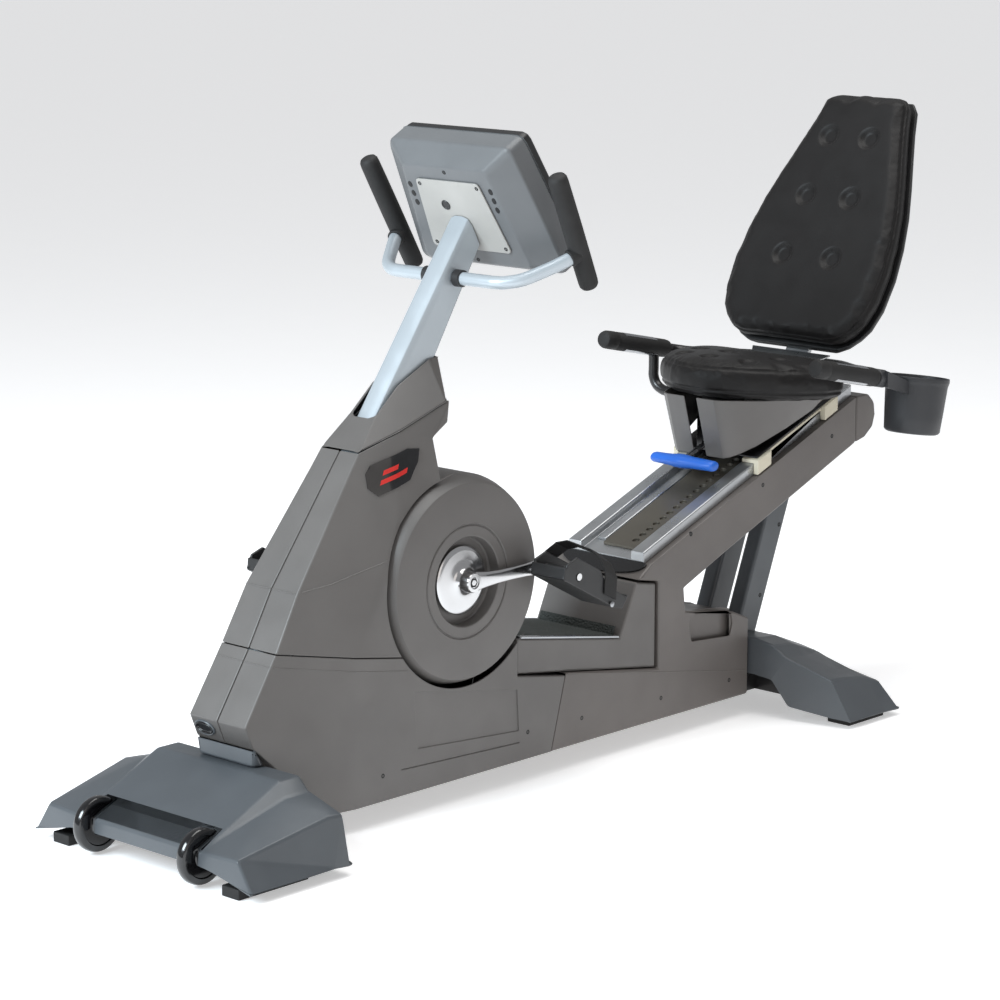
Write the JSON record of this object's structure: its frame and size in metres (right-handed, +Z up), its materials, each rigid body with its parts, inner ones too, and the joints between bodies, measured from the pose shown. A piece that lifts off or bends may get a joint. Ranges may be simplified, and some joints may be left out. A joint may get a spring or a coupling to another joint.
{
  "type": "recumbent exercise bike",
  "caption": "Recumbent exercise bike: drum-covered crank with pedals, console on a slanted mast, and a padded seat with backrest sliding on an inclined track.",
  "frame": {"origin": "centre of the footprint at floor level, midway along and across the bounding box", "axes": "+X along the bike from the console end to the seat end, +Y to the right of the bike (the rider faces -X, so +Y is at the rider's right hand), +Z up"},
  "size_m": [2.1541, 0.69, 1.2507],
  "materials": {
    "panel_grey": "satin moulded grey with a fine metallic fleck",
    "base_slate": "satin slate grey",
    "seat_beam_brown": "satin warm grey",
    "mast_silver": "satin silver paint",
    "crank_silver": "polished",
    "plate_light_grey": "satin light grey",
    "console_grey": "satin grey",
    "screen_glass": "gloss",
    "black_plastic": "fine grain",
    "black_gloss": "gloss",
    "black_rubber": "matte",
    "black_vinyl": "padded vinyl, matte",
    "black_paint": "satin black",
    "track_silver": "brushed",
    "steel": "brushed",
    "cast_iron": "machined",
    "glide_cream": "satin cream nylon",
    "cup_grey": "satin dark grey",
    "lever_blue": "satin blue"
  },
  "bodies": {
    "root": {"main_frame": "black_paint", "seat_track": "track_silver", "hole_rack": "black_paint", "beam_end_cap": "seat_beam_brown", "rear_leg_left": "base_slate", "rear_leg_right": "base_slate", "rear_stabiliser": "black_paint", "rear_stabiliser_cover": "base_slate", "front_stabiliser": "black_paint", "front_stabiliser_cover": "base_slate", "foot_front_left": "black_rubber", "foot_front_right": "black_rubber", "foot_rear_left": "black_rubber", "foot_rear_right": "black_rubber", "neck_cover": "base_slate", "upper_shroud_left": "panel_grey", "upper_shroud_right": "panel_grey", "lower_shroud_left": "panel_grey", "lower_shroud_right": "panel_grey", "drum_cover_left": "panel_grey", "drum_cover_right": "panel_grey", "rear_cover_left": "seat_beam_brown", "rear_cover_right": "seat_beam_brown", "mast_collar": "panel_grey", "step_tray": "panel_grey", "step_mat": "black_rubber", "power_inlet": "black_gloss", "mast": "mast_silver", "handlebar": "mast_silver", "handlebar_grip_left": "black_rubber", "handlebar_grip_right": "black_rubber", "console_back": "console_grey", "console_front": "black_plastic", "console_screen": "screen_glass", "console_plate": "plate_light_grey", "drive_belt": "black_rubber"},
    "wheel_left": {"transport_wheel_left": "black_gloss"},
    "wheel_right": {"transport_wheel_right": "black_gloss"},
    "crank": {"crank_spindle": "steel", "crank_arm_left": "crank_silver", "crank_arm_right": "crank_silver", "crank_pulley": "black_plastic"},
    "flywheel_body": {"flywheel": "cast_iron"},
    "pedal_left_body": {"pedal_left": "black_plastic", "pedal_strap_left": "black_rubber"},
    "pedal_right_body": {"pedal_right": "black_plastic", "pedal_strap_right": "black_rubber"},
    "seat": {"seat_carriage": "black_paint", "glide_shoe_left": "glide_cream", "glide_shoe_right": "glide_cream", "seat_skirt": "panel_grey", "seat_pad": "black_vinyl", "backrest_pad": "black_vinyl", "backrest_shell": "black_plastic", "backrest_bracket": "track_silver", "seat_handlebar": "black_paint", "seat_grip_left": "black_rubber", "seat_grip_right": "black_rubber", "cup_holder": "cup_grey"},
    "lever": {"seat_lever": "lever_blue"}
  },
  "joints": [
    {"name": "crank_spin", "type": "hinge", "parent": "root", "child": "crank", "pos_m": [-0.344, 0, 0.424], "axis": [0, 1, 0], "continuous": true},
    {"name": "flywheel_spin", "type": "hinge", "parent": "root", "child": "flywheel_body", "pos_m": [-0.594, 0, 0.24], "axis": [0, 1, 0], "continuous": true},
    {"name": "pedal_left_spin", "type": "hinge", "parent": "crank", "child": "pedal_left_body", "pos_m": [-0.174, -0.21, 0.424], "axis": [0, 1, 0], "continuous": true},
    {"name": "pedal_right_spin", "type": "hinge", "parent": "crank", "child": "pedal_right_body", "pos_m": [-0.514, 0.21, 0.424], "axis": [0, 1, 0], "continuous": true},
    {"name": "wheel_left_spin", "type": "hinge", "parent": "root", "child": "wheel_left", "pos_m": [-1.026, -0.138, 0.054], "axis": [0, 1, 0], "continuous": true},
    {"name": "wheel_right_spin", "type": "hinge", "parent": "root", "child": "wheel_right", "pos_m": [-1.026, 0.138, 0.054], "axis": [0, 1, 0], "continuous": true},
    {"name": "seat_slide", "type": "slide", "parent": "root", "child": "seat", "axis": [0.9332, 0, 0.3593], "range_m": [-0.33, 0.045]},
    {"name": "seat_lever_lift", "type": "hinge", "parent": "seat", "child": "lever", "pos_m": [0.511, 0, 0.56], "axis": [0, 1, 0], "range_deg": [0, 18], "stiffness_Nm_per_rad": 2}
  ],
  "couplings": [
    {"joint": "flywheel_spin", "follows": "crank_spin", "ratio": 5}
  ]
}
